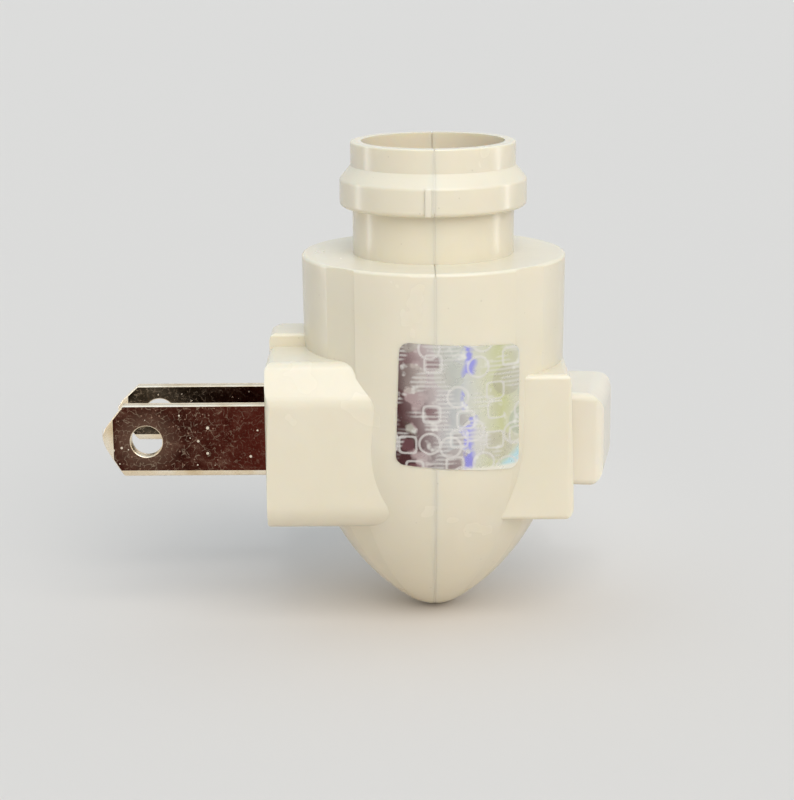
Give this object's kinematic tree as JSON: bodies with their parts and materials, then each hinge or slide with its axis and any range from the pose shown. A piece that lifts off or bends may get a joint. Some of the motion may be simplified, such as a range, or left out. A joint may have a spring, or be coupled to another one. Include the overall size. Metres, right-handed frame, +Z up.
{
  "type": "plug-in night light",
  "caption": "Plug-in night light base: two-blade mains plug, screw lamp holder with a shade collar, and a side rocker switch in a two-shell moulded body.",
  "frame": {"origin": "middle of the plug's wall face, between the two blades", "axes": "+X leaves the wall through the body to the rocker switch, +Y is the narrow blade's side, +Z up along the lamp holder"},
  "size_m": [0.057, 0.0292, 0.0533],
  "materials": {
    "ivory_plastic": "semi-gloss moulded urea or ABS, slightly yellowed ivory",
    "rocker_plastic": "semi-gloss moulded plastic, ivory",
    "fibre": "grey-brown vulcanised fibre",
    "phenolic": "dark brown moulded phenolic",
    "blade_brass": "folded brass strip with a dull worn polish",
    "brass": "plain rolled brass strip",
    "rivet_brass": "brass rivet wire, headed",
    "shell_brass": "thin drawn brass, bright",
    "bronze": "phosphor bronze spring strip",
    "silver": "fine silver contact",
    "white_nylon": "natural nylon",
    "spring_steel": "bright music wire",
    "label_foil": "thin holographic foil, self-adhesive"
  },
  "bodies": {
    "casing": {"rear_shell": "ivory_plastic", "front_shell": "ivory_plastic", "blade_retainer": "fibre", "wide_blade": "blade_brass", "narrow_blade": "blade_brass", "neutral_strap": "brass", "live_strap": "brass", "neutral_blade_rivet": "rivet_brass", "live_blade_rivet": "rivet_brass", "neutral_shell_rivet": "rivet_brass", "screw_shell": "shell_brass", "socket_insulator": "fibre", "centre_contact": "bronze", "centre_contact_rivet": "rivet_brass", "switch_base": "phenolic", "fixed_terminal": "brass", "fixed_contact_button": "silver", "foil_label": "label_foil"},
    "switch_rocker": {"rocker": "rocker_plastic", "plunger": "white_nylon", "plunger_spring": "spring_steel"},
    "switch_contact": {"seesaw_contact": "brass", "moving_contact_button": "silver"}
  },
  "joints": [
    {"name": "rocker_pivot", "type": "hinge", "parent": "casing", "child": "switch_rocker", "pos_m": [0.031, 0, 0], "axis": [0, 0, 1], "range_deg": [0, 19.8]},
    {"name": "contact_pivot", "type": "hinge", "parent": "casing", "child": "switch_contact", "pos_m": [0.0251, 0, 0], "axis": [0, 0, 1], "range_deg": [-16.01, 0]}
  ],
  "couplings": [
    {"joint": "contact_pivot", "follows": "rocker_pivot", "ratio": -0.80808}
  ]
}
